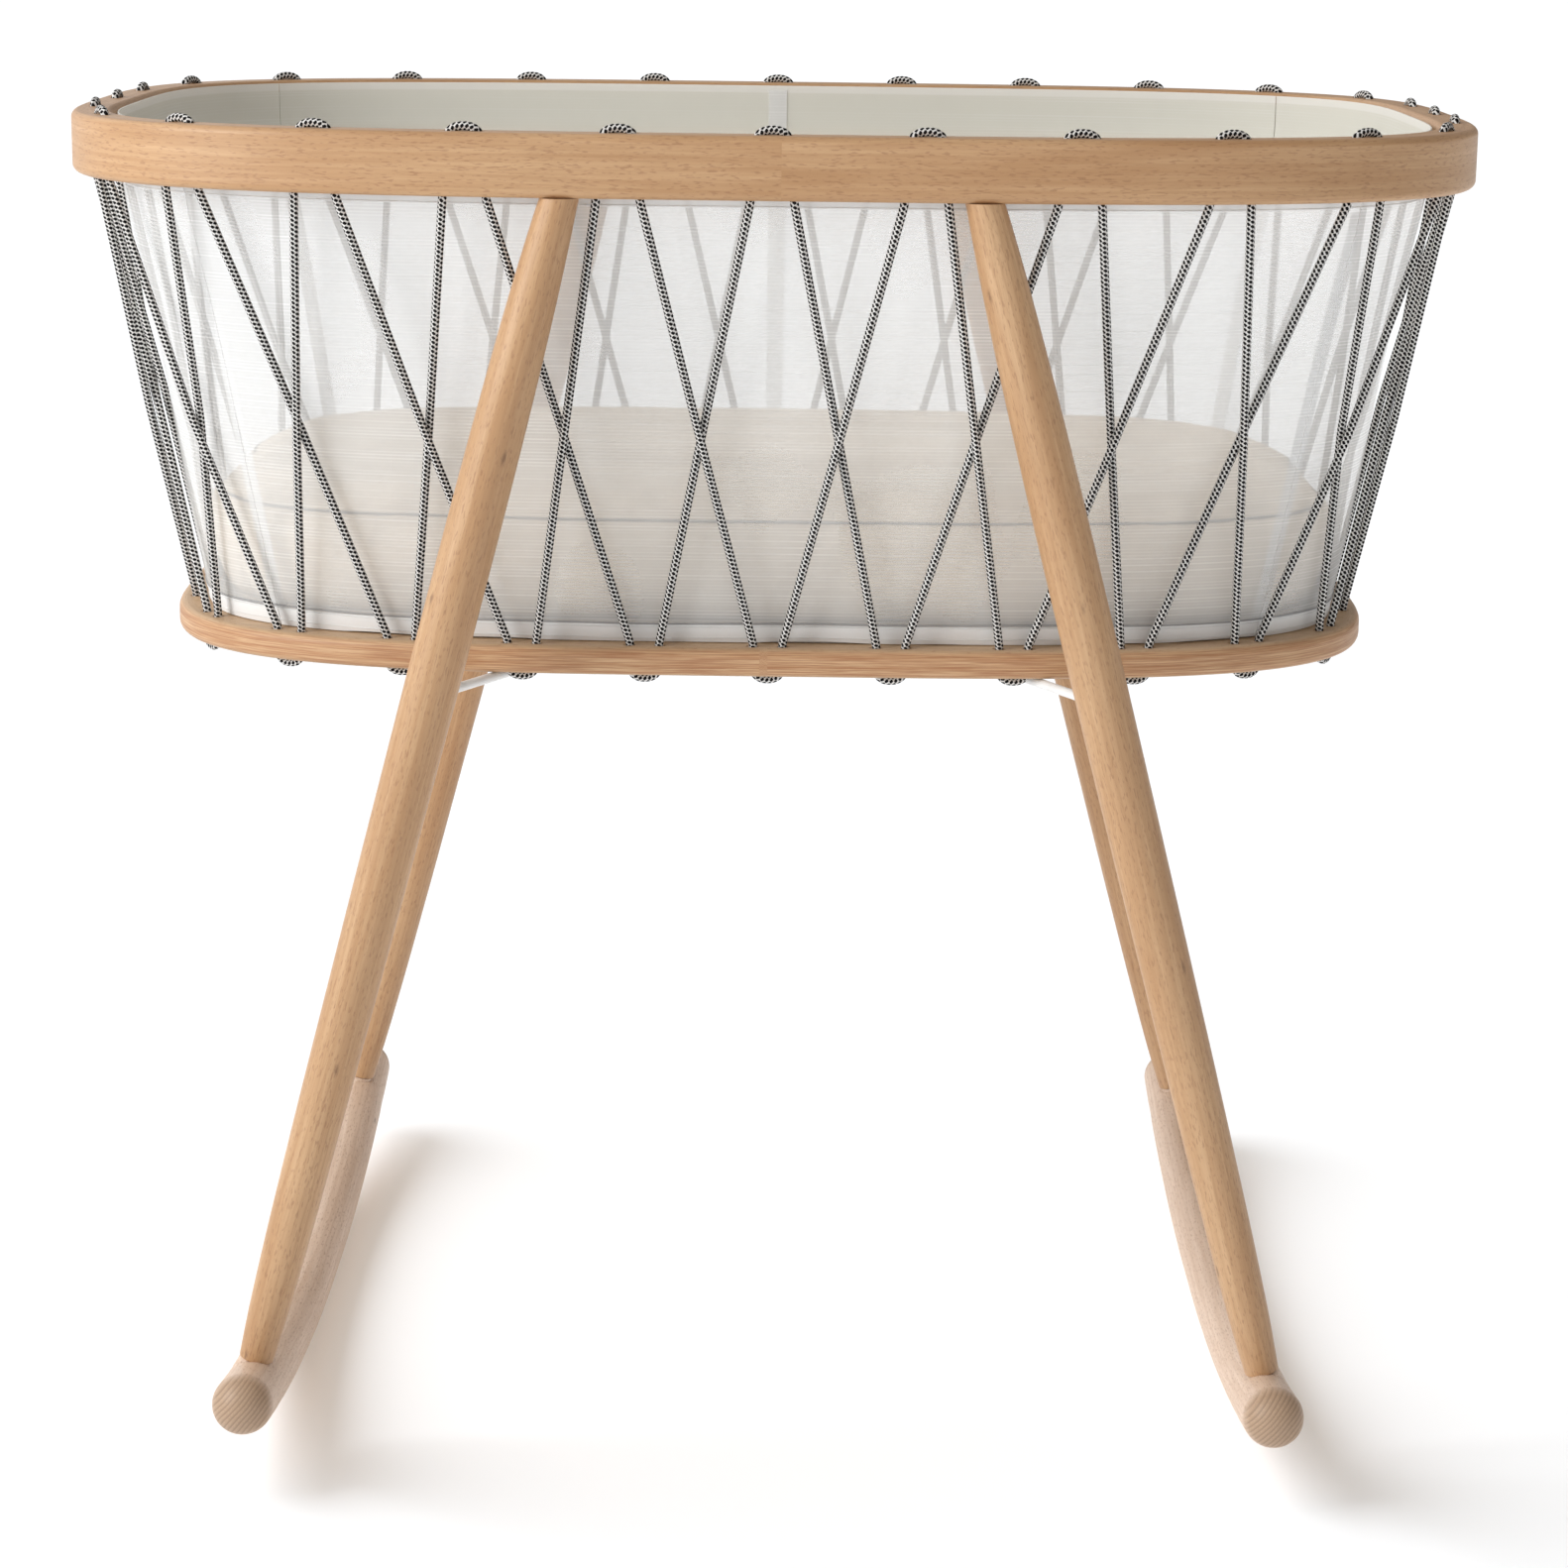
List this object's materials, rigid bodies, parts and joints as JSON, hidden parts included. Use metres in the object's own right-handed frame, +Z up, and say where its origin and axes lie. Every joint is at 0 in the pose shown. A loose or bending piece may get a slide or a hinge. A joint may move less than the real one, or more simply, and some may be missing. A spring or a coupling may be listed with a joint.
{
  "type": "rocking bassinet on stand",
  "caption": "Oval wooden rim on four splayed legs and curved rockers, with a plywood base hung on laced cords, a mesh liner bag and a fitted mattress.",
  "frame": {"origin": "on the floor, below the middle of the bassinet, where the rockers rest", "axes": "+X along the length of the bassinet, +Y across it, which is the way it rocks, +Z up"},
  "size_m": [0.9, 0.733, 0.8399],
  "materials": {
    "beech": "satin lacquered beech",
    "beech_pale": "satin lacquered pale beech",
    "plywood": "satin lacquered plywood with bare ply edge",
    "white_steel": "white powder coat",
    "steel": "zinc plated",
    "brass": "plain",
    "braided_cord": "black and white braid",
    "tape": "woven hook tape",
    "mesh_fabric": "white see-through mesh with opaque bands",
    "mattress_cover": "matt cream cotton"
  },
  "bodies": {
    "frame": {"top_rim": "beech", "base_plate": "plywood", "left_support_bracket": "white_steel", "left_front_bracket_screw": "steel", "left_rear_bracket_screw": "steel", "right_support_bracket": "white_steel", "right_front_bracket_screw": "steel", "right_rear_bracket_screw": "steel", "front_left_leg": "beech", "front_left_rim_insert": "brass", "front_left_rim_bolt": "steel", "front_left_rocker_bolt": "steel", "front_right_leg": "beech", "front_right_rim_insert": "brass", "front_right_rim_bolt": "steel", "front_right_rocker_bolt": "steel", "rear_left_leg": "beech", "rear_left_rim_insert": "brass", "rear_left_rim_bolt": "steel", "rear_left_rocker_bolt": "steel", "rear_right_leg": "beech", "rear_right_rim_insert": "brass", "rear_right_rim_bolt": "steel", "rear_right_rocker_bolt": "steel", "left_rocker": "beech_pale", "right_rocker": "beech_pale", "lacing_cord_a": "braided_cord", "cord_sleeve_a": "steel", "lacing_cord_b": "braided_cord", "cord_sleeve_b": "steel", "rim_hook_tape": "tape"},
    "liner": {"liner_front": "mesh_fabric", "liner_right_end": "mesh_fabric", "liner_back": "mesh_fabric", "liner_left_end": "mesh_fabric", "liner_floor": "mesh_fabric"},
    "mattress": {"mattress": "mattress_cover"}
  },
  "joints": [
    {"name": "liner_lift", "type": "slide", "parent": "frame", "child": "liner", "axis": [0, 0, 1], "range_m": [0, 0.34]},
    {"name": "mattress_lift", "type": "slide", "parent": "liner", "child": "mattress", "axis": [0, 0, 1], "range_m": [0, 0.34]}
  ]
}
